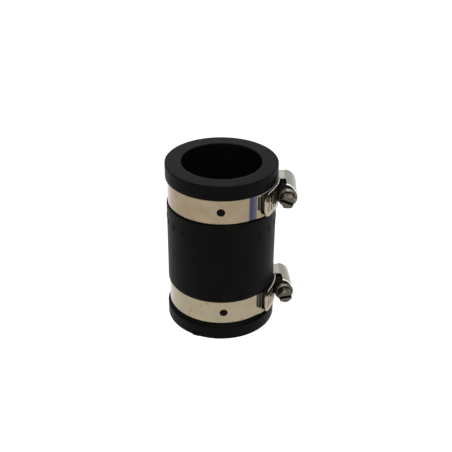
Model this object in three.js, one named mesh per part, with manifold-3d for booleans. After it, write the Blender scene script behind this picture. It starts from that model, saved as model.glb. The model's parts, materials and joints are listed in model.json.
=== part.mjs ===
// Flexible pipe coupling: a rubber sleeve held on two pipe ends by two worm-drive band clamps.
// Millimetres, +Z up along the sleeve. The sleeve stands on z = 0 with its axis on the origin.
// The clamp housings face +X, and the screw heads point towards -Y.

import * as THREE from "three";
import { mergeVertices } from "three/addons/utils/BufferGeometryUtils.js";
import Module from "manifold-3d";

const wasm = await Module();
wasm.setup();

const DEGREE = Math.PI / 180;
const FRONT = -90 * DEGREE;

// Sleeve
const SLEEVE_HEIGHT = 106.8;
const BORE_RADIUS = 24.15;
const RIM_RADIUS = 34;
const BODY_RADIUS = 33.4;
const GROOVE_RADIUS = 32;
const LOWER_RIM_TOP = 8.6;
const LOWER_GROOVE_TOP = 27.1;
const UPPER_GROOVE_BOTTOM = 80.8;
const UPPER_RIM_BOTTOM = 97.4;
const RIM_ROUNDING = 0.6;
const BODY_ROUNDING = 0.5;
const BORE_CHAMFER = 0.6;
const ROUNDING_STEPS = 2;
const SLEEVE_SEGMENTS = 80;

// Rubber stud that passes through each band and stops the clamp from turning
const STUD_RADIUS = 2.25;
const STUD_TOP = 33.05;
const STUD_CLEARANCE = 0.15;
const STUD_SEGMENTS = 20;

// Moulding marks: the gate stub on the lower rim and a ring of raised pads round the body
const GATE_ANGLE = -117 * DEGREE;
const GATE_SIZE = [1.4, 4.2, 1.7];
const PAD_COUNT = 24;
const PAD_SIZE = [1, 1.5, 3.6];
const PAD_PROUD = 0.3;
const PAD_HEIGHT = 70;

// Band strip
const BAND_WIDTH = 15.2;
const BAND_THICKNESS = 0.6;
const BAND_INNER_RADIUS = 32.1;
const BAND_BUMP = 1.1;
const BUMP_FLAT = 17 * DEGREE;
const BUMP_END = 32 * DEGREE;
const BAND_SEGMENTS = 120;

// Tail: the free end of the strip, which lies over the band and leaves the housing at the front
const TAIL_INNER_RADIUS = 34.2;
const TAIL_REAR = 20 * DEGREE;
const TAIL_TIP = -45 * DEGREE;
const TAIL_LIFT_START = -20 * DEGREE;
const TAIL_LIFT = 1.6;
const TAIL_LIFT_POWER = 2;
const TAIL_SEGMENTS = 33;
const TAIL_CORNER_CUT = 3;
const SLOT_WIDTH = 1.6;
const SLOT_LENGTH = 9.2;
const FIRST_SLOT = -7;
const LAST_SLOT = 3;

// Screw
const SCREW_OFFSET = 39.4;
const SCREW_FACE = -18.8;
const THREAD_PITCH = 3.2;
const THREAD_RADIUS = 4.9;
const CORE_RADIUS = 3.85;
const THREAD_ROOT_RADIUS = 3.6;
const THREAD_CREST_WIDTH = 0.6;
const THREAD_ROOT_WIDTH = 1.5;
const THREAD_TURNS = 4.1;
const THREAD_START = -6.4;
const THREAD_STEPS_PER_TURN = 16;
const HEX_ACROSS_FLATS = 8;
const HEX_CHAMFER = 0.7;
const HEX_BACK = -13.3;
const COLLAR_RADIUS = 5.9;
const COLLAR_BACK = -10.8;
const SHANK_RADIUS = 4.5;
const SHANK_BACK = -8.9;
const NECK_RADIUS = 3;
const NECK_BACK = -7.6;
const JOURNAL_START = 6.8;
const JOURNAL_END = 8.8;
const DRIVE_SLOT_WIDTH = 1.6;
const DRIVE_SLOT_DEPTH = 1.7;
const SCREW_SEGMENTS = 24;

// Housing
const HOUSING_FRONT = -10.6;
const HOUSING_REAR = 8.6;
const HOUSING_HALF_WIDTH = 8.25;
const HOUSING_WALL = 0.5;
const CROWN_OFFSET = 37;
const CROWN_RISE = 8.2;
const CROWN_WALL = 0.8;
const CROWN_SEGMENTS = 16;
const HOUSING_FOOT_RADIUS = 33.2;
const SIDE_OPENING_BACK = -3.2;
const SIDE_OPENING_TOP = 38.6;
const SIDE_OPENING_ROUNDING = 2;
const BEARING_HOLE_RADIUS = 3.25;
const FRONT_WEB = [-8.7, -7.8];
const REAR_LIP_THICKNESS = 0.9;
const REAR_LIP_FOOT = 34.6;
const REAR_NOTCH = [1.2, 0.6];

// Saddle
const SADDLE_FRONT = -11 * DEGREE;
const SADDLE_REAR = 15 * DEGREE;
const SADDLE_INNER_RADIUS = 32.1;
const SADDLE_THICKNESS = 1;
const SADDLE_SEGMENTS = 12;

// Pocket that the rubber gives up under each saddle
const POCKET_MARGIN_ANGLE = 1.5 * DEGREE;
const POCKET_MARGIN = 0.35;

// A cutting tool runs this far past the faces it cuts
const OVERRUN = 2;

// Where each clamp sits, where its stud is, and how its screw stands at rest
const CLAMPS = [
  {
    prefix: "upper",
    middle: 89.44,
    angle: -1.8 * DEGREE,
    studAngle: FRONT - 0.5 * DEGREE,
    hexTurn: 0,
    driveSlotTilt: -22 * DEGREE,
  },
  {
    prefix: "lower",
    middle: 19.16,
    angle: 4.4 * DEGREE,
    studAngle: FRONT + 3.1 * DEGREE,
    hexTurn: 44 * DEGREE,
    driveSlotTilt: 9 * DEGREE,
  },
];

const rubber = new THREE.MeshStandardMaterial({ color: 0x1b1c1b, roughness: 0.7, metalness: 0 });
const bandSteel = new THREE.MeshStandardMaterial({ color: 0xc9c1b4, roughness: 0.18, metalness: 1 });
const housingSteel = new THREE.MeshStandardMaterial({ color: 0xd0cdc6, roughness: 0.25, metalness: 1 });
const screwSteel = new THREE.MeshStandardMaterial({ color: 0xb7b0a2, roughness: 0.35, metalness: 1 });

/** Solid from any closed three.js geometry. */
function solid(geometry) {
  const bare = new THREE.BufferGeometry();
  bare.setAttribute("position", geometry.getAttribute("position"));
  bare.setIndex(geometry.getIndex());
  const welded = mergeVertices(bare, 1e-4);
  const mesh = new wasm.Mesh({
    numProp: 3,
    vertProperties: new Float32Array(welded.getAttribute("position").array),
    triVerts: new Uint32Array(welded.getIndex().array),
  });
  return new wasm.Manifold(mesh);
}

/** Named three.js mesh from a solid. */
function namedMesh(name, body, material) {
  const { vertProperties, triVerts } = body.getMesh();
  const geometry = new THREE.BufferGeometry();
  geometry.setAttribute("position", new THREE.BufferAttribute(new Float32Array(vertProperties), 3));
  geometry.setIndex(new THREE.BufferAttribute(new Uint32Array(triVerts), 1));
  geometry.computeVertexNormals();
  const mesh = new THREE.Mesh(geometry, material);
  mesh.name = name;
  return mesh;
}

function smoothstep(t) {
  const clamped = Math.min(1, Math.max(0, t));
  return clamped * clamped * (3 - 2 * clamped);
}

/** Point at a radius and an angle about the sleeve's axis. */
function polar(radius, angle) {
  return new THREE.Vector2(radius * Math.cos(angle), radius * Math.sin(angle));
}

/** Evenly spaced values from start to end, both included. */
function steps(start, end, count) {
  return Array.from({ length: count + 1 }, (_, i) => start + ((end - start) * i) / count);
}

function boxSolid(size, centre) {
  const geometry = new THREE.BoxGeometry(...size);
  geometry.translate(...centre);
  return solid(geometry);
}

/** Plate with the outline in X and Y, centred on z = 0. */
function plateSolid(outline, width, hole) {
  const shape = new THREE.Shape(outline);
  if (hole) {
    shape.holes.push(new THREE.Path(hole));
  }
  const geometry = new THREE.ExtrudeGeometry(shape, { depth: width, bevelEnabled: false });
  geometry.translate(0, 0, -width / 2);
  return solid(geometry);
}

/** Bar with the outline in X and Z, running along Y from front to rear. */
function barSolid(outline, front, rear) {
  const shape = new THREE.Shape(outline);
  const geometry = new THREE.ExtrudeGeometry(shape, { depth: rear - front, bevelEnabled: false });
  geometry.rotateX(Math.PI / 2);
  geometry.translate(0, rear, 0);
  return solid(geometry);
}

/** Sector of a ring about the sleeve's axis, centred on z = 0. */
function sectorSolid(innerRadius, outerRadius, start, end, segments, width) {
  const inner = steps(start, end, segments).map((angle) => polar(innerRadius, angle));
  const outer = steps(end, start, segments).map((angle) => polar(outerRadius, angle));
  return plateSolid([...inner, ...outer], width);
}

/** Body of revolution about a line parallel to Y, at the screw's distance from the sleeve's axis. */
function screwLathe(profile) {
  const geometry = new THREE.LatheGeometry(
    profile.map(([radius, y]) => new THREE.Vector2(radius, y)),
    SCREW_SEGMENTS,
  );
  geometry.translate(SCREW_OFFSET, 0, 0);
  return solid(geometry);
}

/** Quarter of a circle from one corner side to the other, for a rounded profile corner. */
function roundedCorner(centre, radius, startAngle) {
  return steps(startAngle, startAngle + 90 * DEGREE, ROUNDING_STEPS).map(
    (angle) => new THREE.Vector2(centre[0] + radius * Math.cos(angle), centre[1] + radius * Math.sin(angle)),
  );
}

/** One raised band of the sleeve's outside: a rounded corner at its bottom and one at its top. */
function raisedBand(radius, bottom, top, rounding) {
  return [
    ...roundedCorner([radius - rounding, bottom + rounding], rounding, -90 * DEGREE),
    ...roundedCorner([radius - rounding, top - rounding], rounding, 0),
  ];
}

/** Closed profile of the sleeve's wall, in radius and height. */
function sleeveProfile() {
  const profile = [
    new THREE.Vector2(BORE_RADIUS, BORE_CHAMFER),
    new THREE.Vector2(BORE_RADIUS + BORE_CHAMFER, 0),
    ...raisedBand(RIM_RADIUS, 0, LOWER_RIM_TOP, RIM_ROUNDING),
    new THREE.Vector2(GROOVE_RADIUS, LOWER_RIM_TOP),
    new THREE.Vector2(GROOVE_RADIUS, LOWER_GROOVE_TOP),
    ...raisedBand(BODY_RADIUS, LOWER_GROOVE_TOP, UPPER_GROOVE_BOTTOM, BODY_ROUNDING),
    new THREE.Vector2(GROOVE_RADIUS, UPPER_GROOVE_BOTTOM),
    new THREE.Vector2(GROOVE_RADIUS, UPPER_RIM_BOTTOM),
    ...raisedBand(RIM_RADIUS, UPPER_RIM_BOTTOM, SLEEVE_HEIGHT, RIM_ROUNDING),
    new THREE.Vector2(BORE_RADIUS + BORE_CHAMFER, SLEEVE_HEIGHT),
    new THREE.Vector2(BORE_RADIUS, SLEEVE_HEIGHT - BORE_CHAMFER),
  ];
  return [...profile, profile[0].clone()];
}

/** Round peg pointing away from the sleeve's axis, used for the stud and for the band's hole. */
function radialPeg(radius, innerEnd, outerEnd, angle) {
  const geometry = new THREE.CylinderGeometry(radius, radius, outerEnd - innerEnd, STUD_SEGMENTS);
  geometry.rotateZ(-Math.PI / 2);
  geometry.translate((innerEnd + outerEnd) / 2, 0, 0);
  return solid(geometry.rotateZ(angle));
}

/** Generic raised pads in a ring round the body, where such a sleeve carries its moulded size marks. */
function raisedPads() {
  const outward = BODY_RADIUS + PAD_PROUD - PAD_SIZE[0] / 2;
  const pads = [];
  for (const angle of steps(0, 2 * Math.PI, PAD_COUNT).slice(1)) {
    const pad = new THREE.BoxGeometry(...PAD_SIZE);
    pad.translate(outward, 0, PAD_HEIGHT);
    pads.push(solid(pad.rotateZ(angle)));
  }
  return wasm.Manifold.union(pads);
}

/** Short stub left on the lower rim where the moulding gate was cut off. */
function gateStub() {
  const [depth, width, height] = GATE_SIZE;
  const stub = new THREE.BoxGeometry(depth, width, height);
  stub.translate(RIM_RADIUS, 0, height / 2 + RIM_ROUNDING / 2);
  return solid(stub.rotateZ(GATE_ANGLE));
}

function sleeve() {
  const lathe = new THREE.LatheGeometry(sleeveProfile(), SLEEVE_SEGMENTS);
  let body = solid(lathe.rotateX(Math.PI / 2));
  body = body.add(raisedPads()).add(gateStub());
  for (const { middle, angle, studAngle } of CLAMPS) {
    const pocket = sectorSolid(
      GROOVE_RADIUS,
      RIM_RADIUS + OVERRUN,
      SADDLE_FRONT - POCKET_MARGIN_ANGLE,
      SADDLE_REAR + POCKET_MARGIN_ANGLE,
      SADDLE_SEGMENTS,
      2 * (HOUSING_HALF_WIDTH + POCKET_MARGIN),
    );
    const stud = radialPeg(STUD_RADIUS, GROOVE_RADIUS - OVERRUN, STUD_TOP, studAngle);
    body = body.subtract(place(pocket, middle, angle)).add(stud.translate(0, 0, middle));
  }
  return namedMesh("sleeve", body, rubber);
}

/** Moves a solid from the clamp's own frame, where the housing faces +X, to its place on the sleeve. */
function place(body, middle, angle) {
  return body.rotate(0, 0, angle / DEGREE).translate(0, 0, middle);
}

/** Inner radius of the band, which climbs over the saddle. The angle is counted from the housing. */
function bandRadius(angle) {
  return BAND_INNER_RADIUS + BAND_BUMP * smoothstep((BUMP_END - Math.abs(angle)) / (BUMP_END - BUMP_FLAT));
}

function band({ prefix, middle, angle, studAngle }) {
  const angles = steps(-Math.PI, Math.PI, BAND_SEGMENTS).slice(1);
  const inner = angles.map((a) => polar(bandRadius(a), a));
  const outer = angles.map((a) => polar(bandRadius(a) + BAND_THICKNESS, a));
  const ring = plateSolid(outer, BAND_WIDTH, inner);
  const holeRadius = STUD_RADIUS + STUD_CLEARANCE;
  const hole = radialPeg(holeRadius, GROOVE_RADIUS - OVERRUN, STUD_TOP + OVERRUN, studAngle);
  const body = place(ring, middle, angle).subtract(hole.translate(0, 0, middle));
  return namedMesh(`${prefix}_band`, body, bandSteel);
}

/** Inner radius of the tail, which springs away from the band towards its tip. */
function tailRadius(angle) {
  const along = Math.max(0, (TAIL_LIFT_START - angle) / (TAIL_LIFT_START - TAIL_TIP));
  return TAIL_INNER_RADIUS + TAIL_LIFT * along ** TAIL_LIFT_POWER;
}

/** Slanted worm slots, one thread pitch apart along the strip. */
function wormSlots() {
  const middleRadius = TAIL_INNER_RADIUS + BAND_THICKNESS / 2;
  const slant = Math.atan(THREAD_PITCH / (2 * Math.PI * THREAD_RADIUS));
  const depth = 2 * (TAIL_LIFT + OVERRUN);
  const slots = [];
  for (let index = FIRST_SLOT; index <= LAST_SLOT; index += 1) {
    const slot = new THREE.BoxGeometry(depth, SLOT_WIDTH, SLOT_LENGTH);
    slot.rotateX(-slant).translate(middleRadius, 0, 0).rotateZ((index * THREAD_PITCH) / middleRadius);
    slots.push(solid(slot));
  }
  return wasm.Manifold.union(slots);
}

/** The two corners cut off the tail's tip, at 45 degrees. */
function tipCorners() {
  const side = TAIL_CORNER_CUT * Math.SQRT2;
  const depth = 2 * (TAIL_LIFT + OVERRUN);
  const corners = [-BAND_WIDTH / 2, BAND_WIDTH / 2].map((z) =>
    solid(
      new THREE.BoxGeometry(depth, side, side)
        .rotateX(45 * DEGREE)
        .translate(tailRadius(TAIL_TIP), 0, z)
        .rotateZ(TAIL_TIP),
    ),
  );
  return wasm.Manifold.union(corners);
}

function bandTail({ prefix, middle, angle }) {
  const angles = steps(TAIL_TIP, TAIL_REAR, TAIL_SEGMENTS);
  const inner = angles.map((a) => polar(tailRadius(a), a));
  const outer = angles.toReversed().map((a) => polar(tailRadius(a) + BAND_THICKNESS, a));
  const strip = plateSolid([...inner, ...outer], BAND_WIDTH).subtract(wormSlots()).subtract(tipCorners());
  return namedMesh(`${prefix}_band_tail`, place(strip, middle, angle), bandSteel);
}

/** Arch outline in X and Z: two straight legs and an elliptical crown over the screw. */
function archOutline(foot, rise, halfWidth) {
  const crown = steps(-90 * DEGREE, 90 * DEGREE, CROWN_SEGMENTS).map(
    (a) => new THREE.Vector2(CROWN_OFFSET + rise * Math.cos(a), halfWidth * Math.sin(a)),
  );
  return [new THREE.Vector2(foot, -halfWidth), ...crown, new THREE.Vector2(foot, halfWidth)];
}

/** Rounded openings through both side walls, at the front, where the tail comes out. */
function sideOpening() {
  const rounding = SIDE_OPENING_ROUNDING;
  const corner = steps(0, 90 * DEGREE, ROUNDING_STEPS + 1).map(
    (a) =>
      new THREE.Vector2(
        SIDE_OPENING_TOP - rounding + rounding * Math.cos(a),
        SIDE_OPENING_BACK - rounding + rounding * Math.sin(a),
      ),
  );
  const front = HOUSING_FRONT - OVERRUN;
  const foot = BAND_INNER_RADIUS - OVERRUN;
  const outline = [
    new THREE.Vector2(foot, front),
    new THREE.Vector2(SIDE_OPENING_TOP, front),
    ...corner,
    new THREE.Vector2(foot, SIDE_OPENING_BACK),
  ];
  return plateSolid(outline, 2 * (HOUSING_HALF_WIDTH + OVERRUN));
}

/** Wall across the inside of the housing from its foot up, with a round hole for the screw. */
function bearingWall(front, rear, foot) {
  const outline = archOutline(foot, CROWN_RISE - CROWN_WALL / 2, HOUSING_HALF_WIDTH - HOUSING_WALL / 2);
  const hole = screwLathe([
    [0, front - OVERRUN],
    [BEARING_HOLE_RADIUS, front - OVERRUN],
    [BEARING_HOLE_RADIUS, rear + OVERRUN],
    [0, rear + OVERRUN],
  ]);
  return barSolid(outline, front, rear).subtract(hole);
}

function housing({ prefix, middle, angle }) {
  const foot = GROOVE_RADIUS - OVERRUN;
  const outline = archOutline(foot, CROWN_RISE, HOUSING_HALF_WIDTH);
  const outside = barSolid(outline, HOUSING_FRONT, HOUSING_REAR);
  const innerRise = CROWN_RISE - CROWN_WALL;
  const innerOutline = archOutline(foot - OVERRUN, innerRise, HOUSING_HALF_WIDTH - HOUSING_WALL);
  const inside = barSolid(innerOutline, HOUSING_FRONT - OVERRUN, HOUSING_REAR + OVERRUN);
  const footCut = sectorSolid(
    foot - 2 * OVERRUN,
    HOUSING_FOOT_RADIUS,
    2 * SADDLE_FRONT,
    2 * SADDLE_REAR,
    SADDLE_SEGMENTS,
    2 * (HOUSING_HALF_WIDTH + OVERRUN),
  );
  const [notchDepth, notchHeight] = REAR_NOTCH;
  const notch = boxSolid(
    [notchHeight, 2 * notchDepth, 2 * (HOUSING_HALF_WIDTH + OVERRUN)],
    [CROWN_OFFSET + notchHeight, HOUSING_REAR, 0],
  );
  const body = outside
    .subtract(inside)
    .add(bearingWall(FRONT_WEB[0], FRONT_WEB[1], CROWN_OFFSET))
    .subtract(sideOpening())
    .subtract(footCut)
    .add(bearingWall(HOUSING_REAR - REAR_LIP_THICKNESS, HOUSING_REAR, REAR_LIP_FOOT))
    .subtract(notch);
  return namedMesh(`${prefix}_housing`, place(body, middle, angle), housingSteel);
}

function saddle({ prefix, middle, angle }) {
  const plate = sectorSolid(
    SADDLE_INNER_RADIUS,
    SADDLE_INNER_RADIUS + SADDLE_THICKNESS,
    SADDLE_FRONT,
    SADDLE_REAR,
    SADDLE_SEGMENTS,
    2 * HOUSING_HALF_WIDTH,
  );
  return namedMesh(`${prefix}_saddle`, place(plate, middle, angle), housingSteel);
}

/** Right-hand helical ridge. Its crest crosses the strip side of the screw at y = 0. */
function threadRidge() {
  const count = Math.round(THREAD_TURNS * THREAD_STEPS_PER_TURN);
  const startAngle = (THREAD_START / THREAD_PITCH) * 2 * Math.PI;
  const section = [
    [THREAD_ROOT_RADIUS, -THREAD_ROOT_WIDTH / 2],
    [THREAD_RADIUS, -THREAD_CREST_WIDTH / 2],
    [THREAD_RADIUS, THREAD_CREST_WIDTH / 2],
    [THREAD_ROOT_RADIUS, THREAD_ROOT_WIDTH / 2],
  ];
  const positions = [];
  for (const turn of steps(0, THREAD_TURNS, count)) {
    const angle = startAngle + turn * 2 * Math.PI;
    const along = THREAD_START + turn * THREAD_PITCH;
    for (const [radius, offset] of section) {
      positions.push(SCREW_OFFSET - radius * Math.cos(angle), along + offset, radius * Math.sin(angle));
    }
  }
  const corners = section.length;
  const index = [];
  for (let ring = 0; ring < count; ring += 1) {
    for (let corner = 0; corner < corners; corner += 1) {
      const a = ring * corners + corner;
      const b = ring * corners + ((corner + 1) % corners);
      index.push(a, a + corners, b, b, a + corners, b + corners);
    }
  }
  const last = count * corners;
  index.push(0, 1, 2, 0, 2, 3);
  index.push(last, last + 2, last + 1, last, last + 3, last + 2);
  const geometry = new THREE.BufferGeometry();
  geometry.setAttribute("position", new THREE.BufferAttribute(new Float32Array(positions), 3));
  geometry.setIndex(index);
  return solid(geometry);
}

/** Shank, neck, threaded core and end journal, turned about one line. */
function screwCore() {
  return screwLathe([
    [0, HEX_BACK],
    [COLLAR_RADIUS, HEX_BACK],
    [COLLAR_RADIUS, COLLAR_BACK],
    [SHANK_RADIUS, COLLAR_BACK],
    [SHANK_RADIUS, SHANK_BACK],
    [NECK_RADIUS, SHANK_BACK],
    [NECK_RADIUS, NECK_BACK],
    [CORE_RADIUS, NECK_BACK],
    [CORE_RADIUS, JOURNAL_START],
    [NECK_RADIUS, JOURNAL_START],
    [NECK_RADIUS, JOURNAL_END],
    [0, JOURNAL_END],
  ]);
}

/** Hexagon head with a turned chamfer and a straight driver slot. Unturned, it has a corner towards +X. */
function screwHead(hexTurn, driveSlotTilt) {
  const cornerRadius = HEX_ACROSS_FLATS / 2 / Math.cos(30 * DEGREE);
  const length = HEX_BACK - SCREW_FACE + OVERRUN / 2;
  const hexagon = new THREE.CylinderGeometry(cornerRadius, cornerRadius, length, 6);
  hexagon.rotateY(30 * DEGREE - hexTurn).translate(SCREW_OFFSET, SCREW_FACE + length / 2, 0);
  const turned = screwLathe([
    [0, SCREW_FACE],
    [cornerRadius - HEX_CHAMFER, SCREW_FACE],
    [cornerRadius + HEX_CHAMFER, SCREW_FACE + 2 * HEX_CHAMFER],
    [cornerRadius + HEX_CHAMFER, HEX_BACK + OVERRUN],
    [0, HEX_BACK + OVERRUN],
  ]);
  const slot = new THREE.BoxGeometry(2 * HEX_ACROSS_FLATS, 2 * DRIVE_SLOT_DEPTH, DRIVE_SLOT_WIDTH);
  slot.rotateY(-driveSlotTilt).translate(SCREW_OFFSET, SCREW_FACE, 0);
  return solid(hexagon).intersect(turned).subtract(solid(slot));
}

function screw({ prefix, middle, angle, hexTurn, driveSlotTilt }) {
  const body = screwCore().add(threadRidge()).add(screwHead(hexTurn, driveSlotTilt));
  return namedMesh(`${prefix}_screw`, place(body, middle, angle), screwSteel);
}

const coupling = new THREE.Group();
coupling.name = "pipe_coupling";
coupling.add(sleeve());
for (const clamp of CLAMPS) {
  coupling.add(band(clamp), bandTail(clamp), housing(clamp), saddle(clamp), screw(clamp));
}

export default coupling;
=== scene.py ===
"""Looks of a flexible pipe coupling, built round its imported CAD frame.

Metres, +Z up along the sleeve. The clamp housings face +X and the screw heads point towards -Y.
Each clamp is built in its own frame, where its housing faces +X and its band's middle is at z = 0,
and is then turned and lifted to its place.
"""

import json
import math

import bmesh
import bpy
from mathutils import Matrix, Vector, noise


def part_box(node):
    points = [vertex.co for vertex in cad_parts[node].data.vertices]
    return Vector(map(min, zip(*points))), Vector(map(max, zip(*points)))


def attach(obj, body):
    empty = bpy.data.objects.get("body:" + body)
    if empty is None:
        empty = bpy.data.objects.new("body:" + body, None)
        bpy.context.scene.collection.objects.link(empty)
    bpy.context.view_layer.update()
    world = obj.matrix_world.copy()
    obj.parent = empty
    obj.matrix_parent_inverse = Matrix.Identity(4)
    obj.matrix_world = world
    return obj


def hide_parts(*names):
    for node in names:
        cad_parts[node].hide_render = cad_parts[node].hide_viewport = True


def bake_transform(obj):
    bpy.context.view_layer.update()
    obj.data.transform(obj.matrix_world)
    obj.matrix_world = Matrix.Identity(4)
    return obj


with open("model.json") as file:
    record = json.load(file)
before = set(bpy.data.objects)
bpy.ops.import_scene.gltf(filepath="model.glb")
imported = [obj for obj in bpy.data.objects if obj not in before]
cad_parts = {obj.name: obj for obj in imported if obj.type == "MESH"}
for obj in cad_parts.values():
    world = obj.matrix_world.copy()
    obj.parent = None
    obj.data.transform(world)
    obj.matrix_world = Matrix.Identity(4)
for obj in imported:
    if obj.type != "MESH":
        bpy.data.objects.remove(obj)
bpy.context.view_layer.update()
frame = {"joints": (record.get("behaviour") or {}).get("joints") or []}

MM = 0.001
ROOT = "sleeve_and_bands"

# Sleeve
BORE_RADIUS = 24.15 * MM
BODY_RADIUS = 33.4 * MM
GROOVE_RADIUS = 32 * MM
LOWER_RIM_TOP = 8.6 * MM
LOWER_GROOVE_TOP = 27.1 * MM
UPPER_GROOVE_BOTTOM = 80.8 * MM
UPPER_RIM_BOTTOM = 97.4 * MM
RIM_ROUNDING = 0.5 * MM
BODY_ROUNDING = 0.6 * MM
BORE_ROUNDING = 0.5 * MM
CORNER_STEPS = 6
WALL_STEP = 1.6 * MM
SLEEVE_SEGMENTS = 240
SLEEVE_WAVE = 0.05 * MM
SLEEVE_WAVES_PER_METRE = 60
SLEEVE_SHARP_ANGLE = 50

# Pockets in the rubber: how far they reach past a saddle's ends and a housing's sides, and fade
POCKET_MARGIN_ANGLE = 1.5
POCKET_MARGIN = 0.3 * MM
POCKET_FADE = 0.5 * MM

# Studs. Their rounded edge is (inset from the side, depth below the top).
STUD_RADIUS = 2.25 * MM
STUD_TOP = 33.0 * MM
STUD_DOME = ((0, 0.35 * MM), (0.15 * MM, 0.12 * MM), (0.5 * MM, 0.03 * MM))
STUD_SEGMENTS = 40
STUD_ANGLES = {"upper": -90.5, "lower": -86.9}

# Raised marks. Their size is (depth, width, height).
MARK_COUNT = 24
MARK_SIZE = (1.0 * MM, 1.5 * MM, 3.6 * MM)
MARK_PROUD = 0.25 * MM
MARK_HEIGHT = 70 * MM
MARK_ROUNDING = 0.15 * MM

# Torn stub of the moulding gate, with its size as (depth, width, height)
GATE_ANGLE = -117
GATE_SIZE = (1.3 * MM, 4.2 * MM, 1.7 * MM)
GATE_INSET = 0.1 * MM
GATE_LIFT = 0.2 * MM
GATE_SUBDIVISIONS = 4
GATE_TEAR = 0.35 * MM
GATE_TEARS_PER_METRE = 900
GATE_SIDEWAYS_SHARE = 0.6

# Strip, as wide as the CAD band. Angles are degrees from the housing, and the front is at -90.
STRIP_THICKNESS = 0.6 * MM
STRIP_EDGE = 0.16 * MM
STRIP_SHARP_ANGLE = 55
WRAP_RADIUS = 32.4 * MM
SADDLE_RISE = 1.1 * MM
FRONT_CLIMB = (-54, -43)
REAR_CLIMB = (32, 17)
HEAD_END = 10
SEAM = -300
TAIL_RADIUS = 34.5 * MM
TAIL_CLIMB = (40, 16)
TAIL_SPRING = 0.35 * MM
TAIL_SPRING_ANGLES = (-2, -12)
TAIL_LIFT_START = -22
TAIL_TIP = -44.5
TAIL_LIFT = {"upper": 1.5 * MM, "lower": 1.1 * MM}
TAIL_LIFT_POWER = 2
TIP_ROUNDING = 4.5 * MM
TIP_REACH = 9 * MM
SLOT_WIDTH = 1.6 * MM
SLOT_LENGTH = 9.4 * MM
SLOT_ROUNDING = 0.5 * MM
FIRST_SLOT = -7
LAST_SLOT = 10
HOLE_CELL = 9 * MM
HOLE_CLEARANCE = 0.12 * MM

# Mesh of a strip: rows across it, lengths of its plain cells, columns of its pierced cells, and the
# rings of faces round a hole, spaced by a power
STRIP_ROWS = 12
WRAP_STEP = 0.9 * MM
TAIL_STEP = 0.8 * MM
TIP_STEP = 0.4 * MM
HOLE_COLUMNS = 8
SLOT_COLUMNS = 3
HOLE_RINGS = 3
RING_POWER = 0.8

# Screw's thread, along the clamp frame's Y
THREAD_PITCH = 3.2 * MM
THREAD_RADIUS = 4.9 * MM
THREAD_ROOT_RADIUS = 3.7 * MM
THREAD_START = -6.4 * MM
THREAD_TURNS = 4.1
THREAD_STEPS = 40
THREAD_FADE = 0.25

# One flank of the thread's ridge: share of its height, and half its width there
THREAD_FLANK = ((0.0, 0.8 * MM), (0.75, 0.459 * MM), (0.97, 0.238 * MM))

# Screw's head. Its turned chamfer starts inset from the hexagon's corners and ends outside them.
SCREW_SEGMENTS = 96
SCREW_FACE = -18.8 * MM
HEX_BACK = -13.3 * MM
HEX_ACROSS_FLATS = 8 * MM
HEX_OVERLAP = 0.3 * MM
HEX_EDGE = 0.14 * MM
HEX_SHARP_ANGLE = 20
HEX_TURN = {"upper": 1, "lower": 44}
CHAMFER_INSET = 0.95 * MM
CHAMFER_OUTSET = 0.25 * MM
CHAMFER_DEPTH = 0.9 * MM
DRIVE_SLOT = (1.9 * MM, 1.9 * MM)
DRIVE_SLOT_TILT = {"upper": -22, "lower": 9}

# Screw's shaft, from just behind the hexagon's back. The neck and the end journal have one radius.
SHAFT_START = 0.05 * MM
COLLAR_RADIUS = 5.9 * MM
COLLAR_BACK = -10.9 * MM
SHANK_RADIUS = 4.5 * MM
SHANK_BACK = -8.9 * MM
NECK_RADIUS = 3 * MM
NECK_BACK = -7.6 * MM
CORE_RADIUS = 3.85 * MM
CORE_BACK = 6.8 * MM
SHAFT_END = 8.8 * MM
SHAFT_END_CHAMFER = 0.3 * MM
SHAFT_EDGE = 0.1 * MM
SHAFT_SHARP_ANGLE = 30

# Rounded edges of the collar as (inset from its side, distance along): in front from the hexagon's
# back, and behind from the collar's back
COLLAR_FRONT = ((1.2 * MM, -0.2 * MM), (0.15 * MM, 0.45 * MM), (0, 0.7 * MM))
COLLAR_REAR = ((0, -1.1 * MM), (0.3 * MM, 0))

# Housing
HOUSING_FRONT = -10.6 * MM
HOUSING_REAR = 8.6 * MM
HOUSING_HALF_WIDTH = 8.25 * MM
HOUSING_WALL = 0.5 * MM
CROWN_OFFSET = 37 * MM
CROWN_RISE = 8.2 * MM
CROWN_WALL = 0.8 * MM
CROWN_STEPS = 64
FOOT_RADIUS = 33.2 * MM
FOOT_HALF_ANGLE = 30
FOOT_STEPS = 40
SIDE_OPENING = (-3.2 * MM, 38.6 * MM)
SIDE_OPENING_ROUNDING = 2.2 * MM
SIDE_OPENING_STEPS = 8
REAR_NOTCH = (0.6 * MM, 2.2 * MM, 37.6 * MM)
LEG_SETBACK = 0.8 * MM
LEG_CUT_LENGTH = 10 * MM
HOUSING_EDGE = 0.16 * MM
HOUSING_SHARP_ANGLE = 38
CROWN_ROUNDING = 0.7 * MM
CROWN_ROUNDING_STEPS = 6

# Plates across the inside of the housing, as (front, rear, foot), and their holes for the screw
REAR_LIP = (HOUSING_REAR - 1.9 * MM, HOUSING_REAR - 1 * MM, 34.6 * MM)
FRONT_WEB = (-8.7 * MM, -7.8 * MM, CROWN_OFFSET)
BEARING_HOLE_RADIUS = 3.25 * MM
BEARING_HOLE_SEGMENTS = 48
BEARING_EDGE = 0.1 * MM

# Saddle, and its tabs, which narrow from foot to top
SADDLE_ANGLES = (-11, 15)
SADDLE_RADII = (32.15 * MM, 33.05 * MM)
SADDLE_STEPS = 24
SADDLE_EDGE = 0.12 * MM
TAB_FOOT_ANGLES = (-2, 9)
TAB_TOP_ANGLES = (-1, 8)
TAB_RISE = 1.6 * MM
TAB_THICKNESS = 0.35 * MM
TAB_STEPS = 12

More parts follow.
